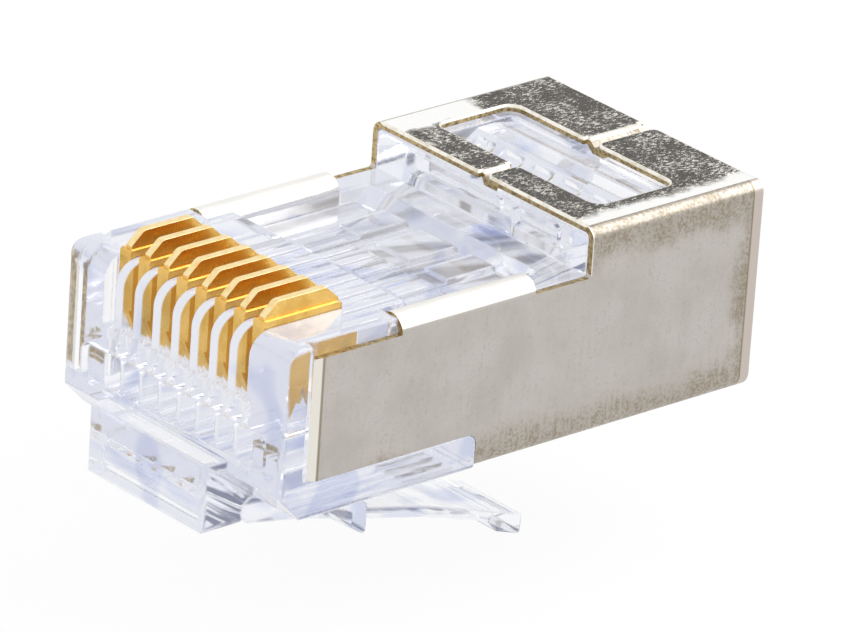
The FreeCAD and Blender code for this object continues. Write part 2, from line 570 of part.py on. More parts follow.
def shield():
    """The nickel-plated shield: one sheet folded round the housing and lapped on top."""
    outer = HALF_WIDTH + OVERCUT
    flat_front = box((HALF_WIDTH - SHEET, WALL_FRONT - OVERCUT, -OVERCUT),
                     (outer, WALL_FRONT + LIP_LENGTH, REAR_HEIGHT))
    tube = shield_tube().cut(both_sides(flat_front)).fuse(both_sides(front_lip()))
    folded = tube.common(prism_x(side_outline(), -outer, outer))
    half = WINDOW_HALF_WIDTH
    window = prism_z(rectangle(-half, WINDOW_START, half, WINDOW_END, WINDOW_RADIUS, WINDOW_RADIUS),
                     REAR_HEIGHT - 2 * SHEET, REAR_HEIGHT + OVERCUT)
    folded = folded.cut(window)
    for start, end, gap in ((RAISED_START, WINDOW_START, FRONT_SEAM_GAP),
                            (WINDOW_END, BODY_LENGTH, REAR_SEAM_GAP)):
        opening, tab = seam(start, end, gap)
        folded = folded.cut(opening).fuse(tab)
    return folded.fuse(both_sides(curl())).removeSplitter()


# ---- contacts ----
def contact(x):
    """One insulation-piercing contact, standing proud of its slot until it is crimped."""
    blade = [(BLADE_FRONT, BASE_TOP - JOIN, 0), (BLADE_FRONT, BASE_TOP + BLADE_FRONT_RISE, SOFT_EDGE),
             (BLADE_FRONT + BLADE_FRONT_RUN, BLADE_TOP, BLADE_THICKNESS),
             (BLADE_BACK - BLADE_BACK_RUN, BLADE_TOP, SOFT_EDGE),
             (BLADE_BACK, BLADE_TOP - BLADE_BACK_DROP, SOFT_EDGE), (BLADE_BACK, BASE_TOP - JOIN, 0)]
    base = rectangle(BASE_FRONT, BASE_BOTTOM, BASE_BACK, BASE_TOP, 0, SOFT_EDGE)
    width = (BASE_BACK - BASE_FRONT) / TOOTH_COUNT
    root = BASE_BOTTOM + JOIN
    teeth = []
    for index in range(TOOTH_COUNT):
        left = BASE_FRONT + index * width
        tip = left + width / 2
        teeth.append([(left, root, 0), (left, BASE_BOTTOM - JOIN, 0),
                      (tip, BASE_BOTTOM - TOOTH_LENGTH, SOFT_EDGE / 2),
                      (left + width, BASE_BOTTOM - JOIN, 0), (left + width, root, 0)])
    half = BLADE_THICKNESS / 2
    thin = [prism_x(outline, x - half, x + half) for outline in [blade] + teeth]
    half = BASE_THICKNESS / 2
    return prism_x(base, x - half, x + half).fuse(thin).removeSplitter()


# ---- writing ----
def write_part(name, shape):
    """Check one piece, move it to the plug's own frame and write its STEP file."""
    solids = shape.Solids
    if len(solids) != 1 or not solids[0].isValid():
        raise ValueError(f"{name}: {len(solids)} solids, valid {shape.isValid()}")
    solid = solids[0]
    solid.translate(FreeCAD.Vector(0, -BODY_LENGTH, -ENTRY_HEIGHT))
    solid.exportStep(f"parts/{name}.step")
    print(f"{name:20s} {solid.Volume:9.3f} mm3  {len(solid.Faces):4d} faces")


def main():
    os.makedirs("parts", exist_ok=True)
    write_part("housing", housing())
    write_part("shield", shield())
    write_part("latch", latch())
    write_part("strain_relief_bar", strain_relief_bar())
    for number, x in enumerate(contact_positions(), start=1):
        write_part(f"contact_{number}", contact(x))


main()
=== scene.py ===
# %% [markdown]
# # A shielded modular plug, dressed for a picture
#
# The plug is a clear moulding folded into a nickel-plated shield, with eight
# gold-plated contacts standing in a comb, a latch below and a strain relief bar
# in a window on top. Its sizes, joints and places are settled already: they come
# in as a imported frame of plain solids. This lesson gives each solid the look of
# soft edges, the polish, the plating and the wear that the real one has, and leaves
# every size alone. Everything is in metres, and the origin is the middle of the
# round cable entry, with +Y out of the entry and +Z on the contact side.

import math

import bpy
from mathutils import Matrix, Vector


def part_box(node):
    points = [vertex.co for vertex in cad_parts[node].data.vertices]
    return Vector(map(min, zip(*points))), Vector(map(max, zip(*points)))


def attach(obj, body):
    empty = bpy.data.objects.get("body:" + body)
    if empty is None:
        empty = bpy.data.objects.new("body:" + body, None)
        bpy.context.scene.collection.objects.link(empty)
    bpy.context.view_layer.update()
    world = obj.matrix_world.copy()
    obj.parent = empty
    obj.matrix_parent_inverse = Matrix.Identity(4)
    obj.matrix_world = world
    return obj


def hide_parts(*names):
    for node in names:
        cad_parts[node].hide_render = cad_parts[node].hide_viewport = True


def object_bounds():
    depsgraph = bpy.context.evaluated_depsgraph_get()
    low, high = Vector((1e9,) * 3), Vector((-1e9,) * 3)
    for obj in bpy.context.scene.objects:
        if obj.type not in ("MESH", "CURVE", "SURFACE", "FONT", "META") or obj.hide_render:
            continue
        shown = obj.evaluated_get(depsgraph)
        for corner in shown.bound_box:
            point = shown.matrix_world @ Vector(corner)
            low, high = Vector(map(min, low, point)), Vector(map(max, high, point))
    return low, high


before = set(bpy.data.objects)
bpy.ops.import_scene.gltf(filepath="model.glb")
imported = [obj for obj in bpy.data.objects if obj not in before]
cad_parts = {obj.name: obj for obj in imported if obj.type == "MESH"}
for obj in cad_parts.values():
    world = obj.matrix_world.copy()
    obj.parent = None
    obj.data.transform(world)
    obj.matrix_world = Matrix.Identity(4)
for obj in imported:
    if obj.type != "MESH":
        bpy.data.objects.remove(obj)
cad_low, cad_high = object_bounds()
print("overall size in mm:", [round(1000 * side, 2) for side in cad_high - cad_low])

# %% [markdown]
# ## Places to work from
#
# A maker would measure the plug before touching it. The same few places are used
# again and again below: how wide the shield is, how high its raised rear stands,
# where the nose ends. They are read from the solids, so they stay right when the
# frame is packed again.

# %% Read the main places off the solids
MM = 0.001
shield_low, shield_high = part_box("shield")
half_width = shield_high.x
sheet = 0.25 * MM  # thickness of the shield's metal

# %% [markdown]
# ## Taking a solid in hand
#
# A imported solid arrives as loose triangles. Welding the points that share a place
# and dissolving the edges that lie flat gives back the large plane faces that a
# modeller would have drawn, and only then can an edge be rounded evenly. The
# original stays untouched: the work is done on a copy that later stands for it.

# %% Helper: one object selected, everything else left alone
def pick(piece):
    """Selects one object and makes it the active one."""
    bpy.ops.object.select_all(action="DESELECT")
    piece.select_set(True)
    bpy.context.view_layer.objects.active = piece


# %% Helper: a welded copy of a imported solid
def welded_copy(node, name):
    """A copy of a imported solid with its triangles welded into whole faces."""
    piece = bpy.data.objects.new(name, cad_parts[node].data.copy())
    bpy.context.scene.collection.objects.link(piece)
    piece.data.name = name
    piece.data.materials.clear()
    pick(piece)
    bpy.ops.object.mode_set(mode="EDIT")
    bpy.ops.mesh.select_all(action="SELECT")
    bpy.ops.mesh.customdata_custom_splitnormals_clear()
    bpy.ops.mesh.remove_doubles(threshold=0.0002 * MM)
    bpy.ops.mesh.dissolve_limited(angle_limit=math.radians(1))
    bpy.ops.object.mode_set(mode="OBJECT")
    print(f"{name}: {len(piece.data.polygons)} faces after welding")
    return piece


# %% [markdown]
# ## Rounding edges
#
# Nothing that was moulded, stamped or folded has a perfectly sharp edge. A bevel
# modifier that works by angle rounds every edge of the piece alike and skips the
# shallow steps of its curves. Applied straight away, it leaves a plain mesh.
#
# It has a guard against faces that would run over each other, and the guard holds
# back the whole piece for the sake of its most crowded edge. Every piece of this
# plug has such an edge, so what is left of the width asked for is only about a
# thousandth of a millimetre, far too little to see. Without the guard the housing
# folds over itself. So this step is not what makes the edges look soft: the clear
# plastic does that in its finish, and the rims that shine are chosen edge by edge
# and rounded apart, with a second helper.
#
# The shading of an edge would bleed into the large flats beside it, and on clear
# plastic that bends everything seen through them, so the flats get the say over
# the shared corners: that is the weighted normal modifier.

# %% Helper: break every sharp edge of a piece, and shade it smooth
def round_edges(piece, radius, steps=2, from_angle=35):
    """Rounds all sharp edges as far as the guard lets it, then shades the piece smooth."""
    lengths = [(piece.data.vertices[a].co - piece.data.vertices[b].co).length
               for a, b in (edge.vertices for edge in piece.data.edges)]
    pick(piece)
    bevel = piece.modifiers.new("edge rounding", "BEVEL")
    bevel.width = radius
    bevel.segments = steps
    bevel.limit_method = "ANGLE"
    bevel.angle_limit = math.radians(from_angle)
    bevel.use_clamp_overlap = True
    bevel.miter_outer = "MITER_ARC"
    bevel.harden_normals = False
    bpy.ops.object.modifier_apply(modifier=bevel.name)
    bpy.ops.object.shade_smooth_by_angle(angle=math.radians(40))
    flat = piece.modifiers.new("keep flats flat", "WEIGHTED_NORMAL")
    flat.keep_sharp = True
    bpy.ops.object.modifier_apply(modifier=flat.name)
    print(f"{piece.name}: {len(piece.data.polygons)} faces, rounding asked for"
          f" {radius / MM:.2f} mm, shortest edge before it {min(lengths) / MM:.4f} mm")


# %% Helper: round a few chosen edges, and give the new faces their own finish
def round_rim(piece, rim, width, steps, guard, finish):
    """Bevels the edges with the given numbers and nothing else."""
    pick(piece)
    bpy.ops.object.mode_set(mode="EDIT")
    bpy.ops.mesh.select_mode(type="EDGE")
    bpy.ops.mesh.select_all(action="DESELECT")
    bpy.ops.object.mode_set(mode="OBJECT")
    for index in rim:
        piece.data.edges[index].select = True
    bpy.ops.object.mode_set(mode="EDIT")
    bpy.ops.mesh.bevel(offset=width, segments=steps, affect="EDGES",
                       clamp_overlap=guard, material=finish)
    bpy.ops.object.mode_set(mode="OBJECT")
    print(f"{piece.name}: {len(rim)} rim edges rounded {width / MM:.2f} mm")


# %% [markdown]
# ## The camera
#
# The plug is seen from its nose and a little to the right, from above, through a
# long lens, as small parts usually are: from further away the far end doesn't
# shrink. The view is set by the point looked at, two angles, a slight tilt of the
# camera about its own axis, and the distance.

# %% Place the camera
look_at = Vector((0.084, -10.439, -0.497)) * MM
camera_distance = 0.31204
around, above, tilt = (math.radians(angle) for angle in (47.73, 23.63, 3.93))
back = Vector((math.sin(around) * math.cos(above),
               -math.cos(around) * math.cos(above),
               math.sin(above)))
right = Vector((math.cos(around), math.sin(around), 0))
up = back.cross(right)
camera = bpy.data.objects.new("camera", bpy.data.cameras.new("camera"))
bpy.context.scene.collection.objects.link(camera)
camera.data.sensor_width = 36
camera.data.lens = 383.5
camera.data.clip_start, camera.data.clip_end = 0.01, 20
tilted_right = right * math.cos(tilt) + up * math.sin(tilt)
tilted_up = up * math.cos(tilt) - right * math.sin(tilt)
turn = Matrix((tilted_right, tilted_up, back)).transposed()
camera.matrix_world = Matrix.Translation(look_at + back * camera_distance) @ turn.to_4x4()
bpy.context.scene.camera = camera
print("camera at", [round(v, 4) for v in camera.matrix_world.translation])

# %% [markdown]
# ## Building materials from small parts
#
# Every finish below is made of the same few ingredients: the place on the piece,
# clouds of noise at different sizes, and ramps that turn a cloud into a patch, a
# speck or a streak. Three short helpers keep each finish readable: one starts a
# material, one adds a node with its values, and one joins two nodes or types a
# plain number in.

# %% Helpers: start a material, add a node, join nodes
def start_material(name):
    """A new material, with the node of its main shader."""
    material = bpy.data.materials.new(name)
    material.use_nodes = True
    return material, material.node_tree.nodes["Principled BSDF"]


def add(material, kind, inputs=None, **settings):
    """Adds a node, sets its options, and fills or links its inputs."""
    made = material.node_tree.nodes.new(kind)
    for option, value in settings.items():
        setattr(made, option, value)
    for socket, value in (inputs or {}).items():
        join(material, value, made.inputs[socket])
    return made


def join(material, value, socket):
    """Links a node output to a socket, or types a plain value into it."""
    if isinstance(value, bpy.types.NodeSocket):
        material.node_tree.links.new(value, socket)
    else:
        socket.default_value = value


# %% [markdown]
# A cloud needs a size, and sizes here are real: a grain of plating is about a
# tenth of a millimetre, a stain is one or two. So the cloud helper takes the size
# of a patch in millimetres and turns it into the scale that the noise wants. The
# next helper cuts a cloud between two levels, softly. Two cuts back to back make a
# stripe, and a cloud added to a distance makes a straight border wander.

# %% Helpers: place, cloud, soft cut, blend, sum, stripe and wandering border
def place_on_piece(material):
    """Coordinates that stay with the piece."""
    return add(material, "ShaderNodeTexCoord").outputs["Object"]


def cloud(material, place, size_mm, detail=3.0, stretch=None):
    """Noise in patches about size_mm across; stretch lengthens them along x, y, z."""
    if stretch:
        squeeze = [1 / s for s in stretch]
        place = add(material, "ShaderNodeMapping", {"Vector": place, "Scale": squeeze}).outputs[0]
    inputs = {"Vector": place, "Scale": 1 / (size_mm * MM), "Detail": detail, "Roughness": 0.55}
    return add(material, "ShaderNodeTexNoise", inputs).outputs[0]


def between(material, value, low, high, to_low=0.0, to_high=1.0):
    """Maps a value softly from one range to another, and holds it there."""
    inputs = {"Value": value, "From Min": low, "From Max": high,
              "To Min": to_low, "To Max": to_high}
    return add(material, "ShaderNodeMapRange", inputs, interpolation_type="SMOOTHSTEP").outputs[0]


def blend(material, share, first, second):
    """Mixes two colours by a share."""
    made = add(material, "ShaderNodeMix", data_type="RGBA")
    join(material, share, made.inputs[0])
    join(material, first, made.inputs[6])
    join(material, second, made.inputs[7])
    return made.outputs[2]


def calculate(material, how, first, second):
    """One step of arithmetic on two values."""
    return add(material, "ShaderNodeMath", {0: first, 1: second}, operation=how).outputs[0]


def stripe(material, value, up, down):
    """A soft stripe: it comes up between two values and goes down between two more."""
    return calculate(material, "MULTIPLY", between(material, value, up[0], up[1]),
                     between(material, value, down[1], down[0]))


def wandering(material, drift, reach):
    """A shift to and fro that makes a straight border wander."""
    return calculate(material, "MULTIPLY", calculate(material, "SUBTRACT", drift, 0.5), reach)


# %% [markdown]
# Light that has turned back and forth inside clear plastic for long comes from
# every side of the room at once. Following it further is slow, and giving it up
# leaves black. So after a few turns it is taken as pale, which is what it is on
# average in a white room. In a dark room this would be too bright, so it is a
# shortcut for a pale studio and not a property of the plastic.

# %% Helper: end a light path that has turned too often
turns_followed = 4.5


def end_lost_light(material, surface):
    """From the fifth turn on, a pale glow stands for the light that is still under way."""
    turns = add(material, "ShaderNodeLightPath").outputs["Ray Depth"]
    lost = calculate(material, "GREATER_THAN", turns, turns_followed)
    pale = add(material, "ShaderNodeEmission", {"Color": (0.92, 0.93, 0.97, 1), "Strength": 0.92})
    mixed = add(material, "ShaderNodeMixShader", {0: lost, 1: surface, 2: pale.outputs[0]})
    join(material, mixed.outputs[0], material.node_tree.nodes["Material Output"].inputs["Surface"])


# %% [markdown]
# ## Clear moulding
#
# The housing, the latch and the strain relief bar are one clear polycarbonate,
# cast against polished steel: glassy, with a faint blue-violet dye that shows
# where light runs a long way through it, along edges and behind thick walls. A
# surface tint alone would colour thin and thick places alike, so the dye is an
# absorbing volume. The mould's polish leaves slight waves, which a weak bump
# stands for. Lamps are let through, so that what lies inside isn't in darkness.
#
# Two things here are paint and not plastic. The mould's edges are soft, and the
# mesh's aren't, so a Bevel node bends the shading near each edge as a rounding
# would: the outline of the mesh stays sharp. And clear parts pick up blue patches
# from the room around them, so a slow cloud tints the surface blue here and there.

# %% Finish: clear polycarbonate
soft_edge = 0.12 * MM
plain_tint, painted_blue_reflection = (0.975, 0.978, 0.99, 1), (0.63, 0.68, 0.86, 1)


def clear_polycarbonate(name, seed_place):
    """Clear plastic with a painted blue reflection in patches and a softly waved surface."""
    material, shader = start_material(name)
    place = add(material, "ShaderNodeMapping",
                {"Vector": place_on_piece(material), "Location": seed_place}).outputs[0]
    waves = cloud(material, place, 1.3, detail=1.0)
    polish = cloud(material, place, 0.35, detail=2.0)
    haze = between(material, polish, 0.35, 0.75, 0.02, 0.09)
    soft = add(material, "ShaderNodeBevel", {"Radius": soft_edge}, samples=4)
    bump = add(material, "ShaderNodeBump", {"Height": waves, "Strength": 0.15,
                                            "Distance": 0.06 * MM, "Normal": soft.outputs[0]})
    # painted reflection: a slow cloud tints the surface blue in patches, for the blue of the room
    painted_blue_reflection_share = between(material, cloud(material, place, 2.2, detail=0.5), 0.58, 0.67)
    join(material, blend(material, painted_blue_reflection_share, plain_tint, painted_blue_reflection), shader.inputs["Base Color"])
    shader.inputs["IOR"].default_value = 1.58
    shader.inputs["Transmission Weight"].default_value = 1.0
    join(material, haze, shader.inputs["Roughness"])
    join(material, bump.outputs[0], shader.inputs["Normal"])
    dye = add(material, "ShaderNodeVolumeAbsorption",
              {"Color": (0.81, 0.825, 0.91, 1), "Density": 60.0})
    let_through = add(material, "ShaderNodeBsdfTransparent", {"Color": (0.93, 0.94, 0.97, 1)})
    lamp_ray = add(material, "ShaderNodeLightPath").outputs["Is Shadow Ray"]
    mixed = add(material, "ShaderNodeMixShader",
                {0: lamp_ray, 1: shader.outputs[0], 2: let_through.outputs[0]})
    end_lost_light(material, mixed.outputs[0])
    join(material, dye.outputs[0], material.node_tree.nodes["Material Output"].inputs["Volume"])
    print("finish:", name)
    return material


# %% [markdown]
# ## Housing
#
# The housing carries everything: nose, comb, wire channels, the well behind the
# contacts, the raised rear and the cable space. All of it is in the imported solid
# already, so its copy only needs its edges broken and its plastic.

# %% Housing
housing = welded_copy("housing", "clear_housing")
round_edges(housing, 0.05 * MM, steps=2)
housing.data.materials.append(clear_polycarbonate("clear polycarbonate housing", (0, 0, 0)))
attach(housing, "plug")
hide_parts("housing")

# %% [markdown]
# ## Latch and strain relief bar
#
# Both are the same moulding as the housing on the real plug, and they bend at
# thin webs. Each rides on its own body, so each is its own piece here too. The
# bar's sloping front face winds round its pockets, and rounding such a face makes
# it fold over itself, so it is cut into triangles first.

# %% Latch
latch = welded_copy("latch", "clear_latch")
round_edges(latch, 0.06 * MM, steps=2, from_angle=25)
latch.data.materials.append(clear_polycarbonate("clear polycarbonate latch", (0.003, 0, 0)))
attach(latch, "latch")
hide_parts("latch")

# %% Strain relief bar
bar = welded_copy("strain_relief_bar", "clear_strain_relief_bar")
bpy.ops.object.mode_set(mode="EDIT")
bpy.ops.mesh.select_all(action="SELECT")
bpy.ops.mesh.quads_convert_to_tris(quad_method="BEAUTY", ngon_method="BEAUTY")
bpy.ops.object.mode_set(mode="OBJECT")
round_edges(bar, 0.04 * MM, steps=2)
bar.data.materials.append(clear_polycarbonate("clear polycarbonate bar", (0, 0.004, 0)))
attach(bar, "strain_relief_bar")
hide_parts("strain_relief_bar")

# %% [markdown]
# ## What all metals here share
#
# The five finishes of the shield and the two of the contacts end in the same way:
# a colour, a roughness and a fine relief go to the shader, and the metallic share
# is one. A helper does that, so each finish below is only about its own clouds.

# %% Helper: join the parts of a metal finish
def finish_metal(material, shader, colour, rough, relief, strength, relief_mm, under=None):
    """Joins colour, roughness and relief to a metal's shader; under is a coarser relief."""
    join(material, colour, shader.inputs["Base Color"])
    shader.inputs["Metallic"].default_value = 1.0
    join(material, rough, shader.inputs["Roughness"])
    bump = add(material, "ShaderNodeBump",
               {"Height": relief, "Strength": strength, "Distance": relief_mm * MM})
    if under is not None:
        join(material, under, bump.inputs["Normal"])
    join(material, bump.outputs[0], shader.inputs["Normal"])
    print("finish:", material.name)
    return material


# %% [markdown]
# ## Plated shield
#
# The shield is thin brass sheet with a satin nickel plating. Up close the plating
# is a field of fine grain, lighter and darker by patches, with a brownish bloom
# that gathers along the top bends, the foot and the rear edge, and upright drag
# marks from the folding tool. Each of these is one cloud at its own size. The
# bloom is placed by height and depth on the piece, because that is where hands
# and tools have touched it.

# %% Where the shield's finish changes
raised_from = shield_low.y + 12.5 * MM  # foot of the raised rear
lip_to = shield_low.y + 0.38 * MM       # inner border of the strip bent in at the front
curl_from = shield_low.z + 6.15 * MM    # foot of the rolled edges
rear_strip_from = -0.44 * MM            # front border of the pale strip at the rear edge
print("raised rear from", round(raised_from / MM, 2), "mm")


# %% Helper: the brown bloom along the borders
def bloom_at_borders(material, depth, height, patches, fine):
    """How brown the plating is: along the top bends, the foot and the rear edge."""
    wander = wandering(material, patches, 2.6 * MM)
    high = calculate(material, "ADD", height, wander)
    far = calculate(material, "ADD", depth, wander)
    near_top = calculate(
        material, "MULTIPLY",
        between(material, high, shield_high.z - 1.9 * MM, shield_high.z - 0.7 * MM),
        between(material, depth, raised_from - 0.4 * MM, raised_from))
    near_foot = between(material, high, shield_low.z + 1.7 * MM, shield_low.z + 0.6 * MM)
    near_rear = between(material, far, -1.4 * MM, -0.2 * MM)
    border = calculate(material, "MAXIMUM", near_top, near_foot)
    border = calculate(material, "MAXIMUM", border, near_rear)
    return calculate(material, "MULTIPLY", border, between(material, fine, 0.6, 0.95, 0.3, 0.95))


# %% [markdown]
# Three places differ from the side wall. The strip that is bent in at the front is
# painted pale, a painted highlight, with an olive line behind it. The strip at the
# rear edge is pale as well, with the line in front of it. The rolled edges are
# painted pale too, a painted highlight where the lamp shines on them, and rougher.

# %% Helper: the pale strips, their olive lines and the painted highlight on the rolled edges
def paint_strips(material, plating, depth, painted_curl_highlight):
    """The colour of the plating with its front strip, rear strip and the painted highlight on the
    curls.
    """
    # painted highlight: the strip bent in at the front is painted pale
    lip_painted_highlight = between(material, depth, lip_to + 0.02 * MM, lip_to - 0.02 * MM)
    plating = blend(material, lip_painted_highlight, plating, (0.80, 0.765, 0.69, 1))
    lip_line = stripe(material, depth, up=(lip_to, lip_to + 0.03 * MM),
                      down=(lip_to + 0.09 * MM, lip_to + 0.14 * MM))
    plating = blend(material, calculate(material, "MULTIPLY", lip_line, 0.75),
                    plating, (0.25, 0.21, 0.13, 1))
    on_rear_strip = between(material, depth, rear_strip_from, rear_strip_from + 0.04 * MM)
    plating = blend(material, on_rear_strip, plating, (0.56, 0.50, 0.45, 1))
    rear_line = stripe(material, depth,
                       up=(rear_strip_from - 0.06 * MM, rear_strip_from - 0.02 * MM),
                       down=(rear_strip_from + 0.02 * MM, rear_strip_from + 0.06 * MM))
    plating = blend(material, calculate(material, "MULTIPLY", rear_line, 0.7),
                    plating, (0.26, 0.21, 0.13, 1))
    return blend(material, painted_curl_highlight, plating, (0.86, 0.84, 0.80, 1))


# %% Finish: satin nickel with a brown bloom along its borders
def satin_nickel():
    """Nickel plating over brass sheet, mottled, streaked and slightly stained, with painted
    highlights on the front strip and the curls.
    """
    material, shader = start_material("satin nickel")
    place = place_on_piece(material)
    axes = add(material, "ShaderNodeSeparateXYZ", {"Vector": place})
    depth, height = axes.outputs["Y"], axes.outputs["Z"]
    patches = cloud(material, place, 1.8, detail=4.0)
    grain = cloud(material, place, 0.1, detail=3.0)
    streaks = cloud(material, place, 0.16, detail=3.0, stretch=(1, 1, 9))
    fine = calculate(material, "ADD", grain, calculate(material, "MULTIPLY", streaks, 0.5))
    bloom = bloom_at_borders(material, depth, height, patches, fine)
    # painted highlight: the rolled edges are painted pale, and made rougher
    painted_curl_highlight = calculate(material, "MULTIPLY",
                       between(material, height, curl_from, curl_from + 0.05 * MM),
                       between(material, depth, raised_from, raised_from - 0.1 * MM))

    plating = blend(material, between(material, patches, 0.3, 0.75),
                    (0.535, 0.502, 0.47, 1), (0.475, 0.442, 0.41, 1))
    plating = blend(material, between(material, fine, 0.75, 1.05, 0, 0.4),
                    plating, (0.34, 0.315, 0.275, 1))
    plating = blend(material, calculate(material, "MULTIPLY", bloom, 0.85),
                    plating, (0.27, 0.22, 0.145, 1))
    colour = paint_strips(material, plating, depth, painted_curl_highlight)
    worn = calculate(material, "MULTIPLY", calculate(material, "MAXIMUM", bloom, painted_curl_highlight), 0.12)
    rough = calculate(material, "ADD", between(material, patches, 0.3, 0.7, 0.26, 0.36), worn)
    return finish_metal(material, shader, colour, rough, fine, 0.4, 0.012)


# %% [markdown]
# The flat top is the place where the sheet was squeezed between the folding tools,
# and its plating is crinkled like orange peel. What it mirrors is painted into its
# colour: dark in the hollows, in clumps, a painted reflection of a dark room, and
# pale on the crinkles' tops, a painted highlight. Towards the two side bends the sheet
# was stretched smooth, and there it is painted bright, a painted reflection of the
# bright room. On the -X side that bright strip is wider as far back as the middle of
# the window, and behind it the dark runs on to the bend.

# %% Helper: where the top is crinkled and painted dark
def crinkled_and_painted_dark_share(material, across, depth, drift):
    """One where the top is crinkled and painted dark, a painted reflection, nothing where it is
    smooth and painted bright.
    """
    wander = wandering(material, drift, 0.9 * MM)
    beside = calculate(material, "ADD", calculate(material, "ABSOLUTE", across, 0.0), wander)
    flat = between(material, beside, half_width - 1.25 * MM, half_width - 0.75 * MM, 1.0, 0.0)
    edge_far = calculate(material, "ADD", across, wander)
    # painted reflection: on the -X side the bright strip runs wider, with painted dark behind it
    smooth_painted_bright_far = calculate(
        material, "MULTIPLY",
        between(material, edge_far, 1.8 * MM - half_width, 1.5 * MM - half_width),
        between(material, depth, -3.9 * MM, -4.3 * MM))
    crinkled_painted_dark_far = calculate(material, "MULTIPLY", between(material, across, 0.6 * MM, -0.6 * MM),
                         between(material, depth, -4.3 * MM, -3.6 * MM))
    flat = calculate(material, "MULTIPLY", flat, calculate(material, "SUBTRACT", 1.0, smooth_painted_bright_far))
    return calculate(material, "MAXIMUM", flat, crinkled_painted_dark_far)


# %% [markdown]
# One slow cloud makes the clumps, a fine one the crinkles, a finer one the specks.
# Their sum is cut at one level: what lies below it is painted dark, a painted
# reflection. The same sum is the relief, so that the painted dark lies in the hollows.

# %% Finish: the crinkled flat top, with its reflection painted
def crinkled_nickel_painted_reflection():
    """Plating squeezed in the folding tools, with a painted reflection: dark hollows, bright tops.
    """
    material, shader = start_material("crinkled nickel, painted reflection")
    place = place_on_piece(material)
    axes = add(material, "ShaderNodeSeparateXYZ", {"Vector": place})
    drift = cloud(material, place, 0.9, detail=2.0)
    flat = crinkled_and_painted_dark_share(material, axes.outputs["X"], axes.outputs["Y"], drift)
    clumps = cloud(material, place, 0.8, detail=2.0)
    crinkle = cloud(material, place, 0.1, detail=5.0, stretch=(1, 2.4, 1))
    speck = cloud(material, place, 0.05, detail=2.0)
    mottle = calculate(material, "ADD", crinkle, calculate(material, "MULTIPLY", speck, 0.7))
    mottle = calculate(material, "ADD", mottle, calculate(material, "MULTIPLY", clumps, 0.45))
    # painted reflection: where the sum is low, the top is painted nearly black
    dark = calculate(material, "MULTIPLY", between(material, mottle, 1.235, 1.115), flat)
    # painted highlight: the tops of the crinkles and the smooth strips are painted pale
    painted_highlight_colour = blend(material, flat, (0.97, 0.965, 0.95, 1), (0.80, 0.765, 0.70, 1))
    colour = blend(material, dark, painted_highlight_colour, (0.042, 0.034, 0.025, 1))
    rough = between(material, speck, 0.3, 0.7, 0.16, 0.3)
    crown = add(material, "ShaderNodeBump", {"Height": flat, "Strength": 0.5, "Distance": 0.1 * MM})
    creases = calculate(material, "MULTIPLY", mottle, flat)
    return finish_metal(material, shader, colour, rough, creases, 0.7, 0.03, crown.outputs[0])


# %% [markdown]
# Where the sheet was cut, the plating stops or is worn through, and the brass
# shows as a thin olive-gold line. It is a second finish on the same piece, for
# the narrow faces of the cut alone.

# %% Finish: cut brass edge
def cut_brass_edge():
    """Bare, dull brass at the cut edges of the sheet."""
    material, shader = start_material("cut brass edge")
    burr = cloud(material, place_on_piece(material), 0.15, detail=3.0)
    colour = blend(material, between(material, burr, 0.35, 0.7),
                   (0.60, 0.47, 0.25, 1), (0.26, 0.19, 0.09, 1))
    rough = between(material, burr, 0.3, 0.7, 0.3, 0.5)
    return finish_metal(material, shader, colour, rough, burr, 0.3, 0.02)


# %% [markdown]
# Round the top, the die has pressed the corner of the sheet round and polished it,
# and that line is painted near white, partly a painted highlight. It is the brightest
# part of the shield, so it is a third finish, and the rounding of the rim gives it to
# the new faces that it makes.

# %% Finish: the pressed corner, painted bright, partly a painted highlight
def burnished_corner_painted_highlight():
    """The pressed line beside a cut, painted bright, partly a painted highlight."""
    material, shader = start_material("burnished corner, painted highlight")
    wear = cloud(material, place_on_piece(material), 0.3, detail=3.0)
    colour = blend(material, between(material, wear, 0.4, 0.7),
                   (0.93, 0.90, 0.82, 1), (0.74, 0.68, 0.55, 1))
    rough = between(material, wear, 0.3, 0.7, 0.18, 0.32)
    return finish_metal(material, shader, colour, rough, wear, 0.2, 0.02)


# %% [markdown]
# Inside, the plating lies under clear plastic and gets little light, so it is
# painted much lighter than the outside: painted light. It is smoother, with the long
# lighter and darker streaks that the sheet got when it was drawn. They run along the
# plug and show through the wire channels. Light that has bounced many times between
# plastic and plating is taken as pale here too, or the gap between the lapped sheets
# would look black.

# %% Finish: the nickel inside, painted light
def inner_nickel_painted_light():
    """Plating on the inner side of the sheet, painted lighter as painted light."""
    material, shader = start_material("inner nickel, painted light")
    place = place_on_piece(material)
    draws = cloud(material, place, 0.85, detail=1.5, stretch=(1, 20, 1))
    haze = cloud(material, place, 2.4, detail=2.0, stretch=(1, 2, 1))
    # painted light: the inside is painted far lighter than nickel, with darker streaks
    colour = blend(material, between(material, draws, 0.42, 0.62),
                   (0.90, 0.89, 0.88, 1), (0.42, 0.39, 0.36, 1))
    # painted light: the haze lifts the inside nearly to white
    colour = blend(material, between(material, haze, 0.5, 0.62, 0, 0.6),
                   colour, (0.95, 0.95, 0.95, 1))
    rough = between(material, haze, 0.3, 0.7, 0.12, 0.26)
    finish_metal(material, shader, colour, rough, draws, 0.25, 0.05)
    end_lost_light(material, shader.outputs[0])
    return material


# %% [markdown]
# The cut faces are found by their direction: the sheet's own faces look sideways,
# up or down, and never straight ahead or back, so a face that looks along the
# plug is a cut. Inside the window, above the housing, a cut also looks sideways.
# What looks towards the middle of the plug is the inner side of the sheet.

